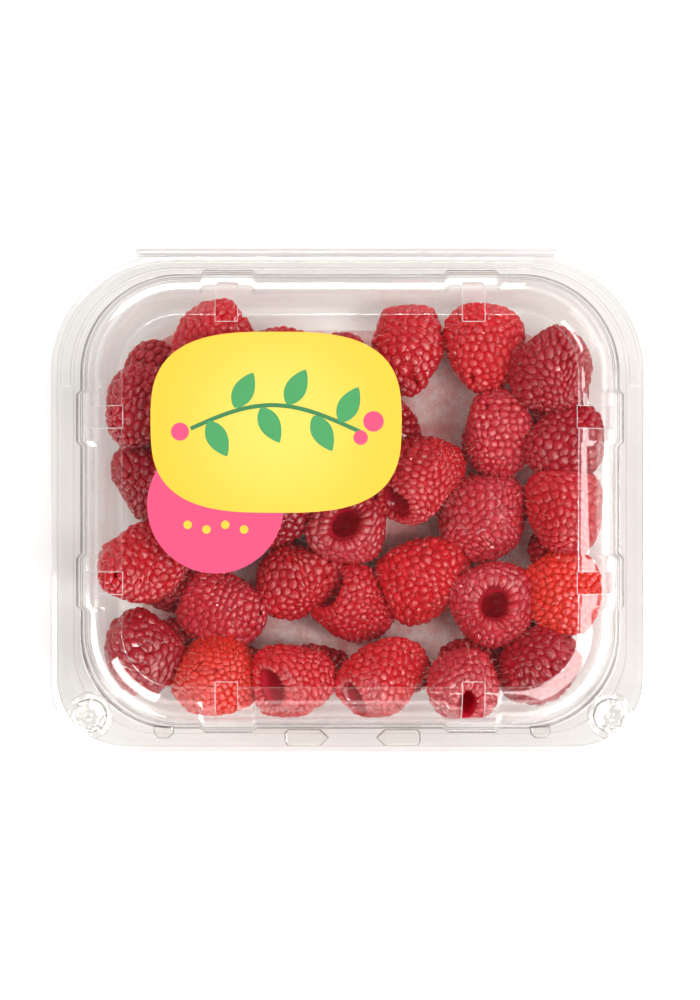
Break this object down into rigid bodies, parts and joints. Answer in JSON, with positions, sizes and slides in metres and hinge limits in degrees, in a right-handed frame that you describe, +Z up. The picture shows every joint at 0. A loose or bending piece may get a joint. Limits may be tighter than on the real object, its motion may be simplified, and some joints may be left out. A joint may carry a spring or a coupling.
{
  "type": "punnet of raspberries",
  "caption": "Clear hinged plastic punnet with domed vented lid, label and absorbent pad, filled with loose raspberries.",
  "frame": {"origin": "Middle of the bounding box in plan, on the surface the tray stands on.", "axes": "+X along the long side, +Y towards the hinge, +Z up out of the lid."},
  "size_m": [0.143, 0.12, 0.038],
  "materials": {
    "tray_plastic": "clear thermoformed PET sheet, smooth, with fine forming lines",
    "lid_plastic": "clear thermoformed PET sheet, glossy",
    "label_paper": "printed sticker, yellow and pink fields, slight sheen",
    "pad_fibre": "white cellulose pad, quilted, with faint pink juice stains",
    "raspberry": "moist drupelets with small highlights and fine pale hairs"
  },
  "bodies": {
    "tray": {"base_tray": "tray_plastic", "pad": "pad_fibre", "raspberries": "raspberry"},
    "lid": {"lid": "lid_plastic", "label": "label_paper"}
  },
  "joints": [
    {"name": "lid_hinge", "type": "hinge", "parent": "tray", "child": "lid", "pos_m": [0, 0.0592, 0.02595], "axis": [-1, 0, 0], "range_deg": [0, 170]}
  ]
}
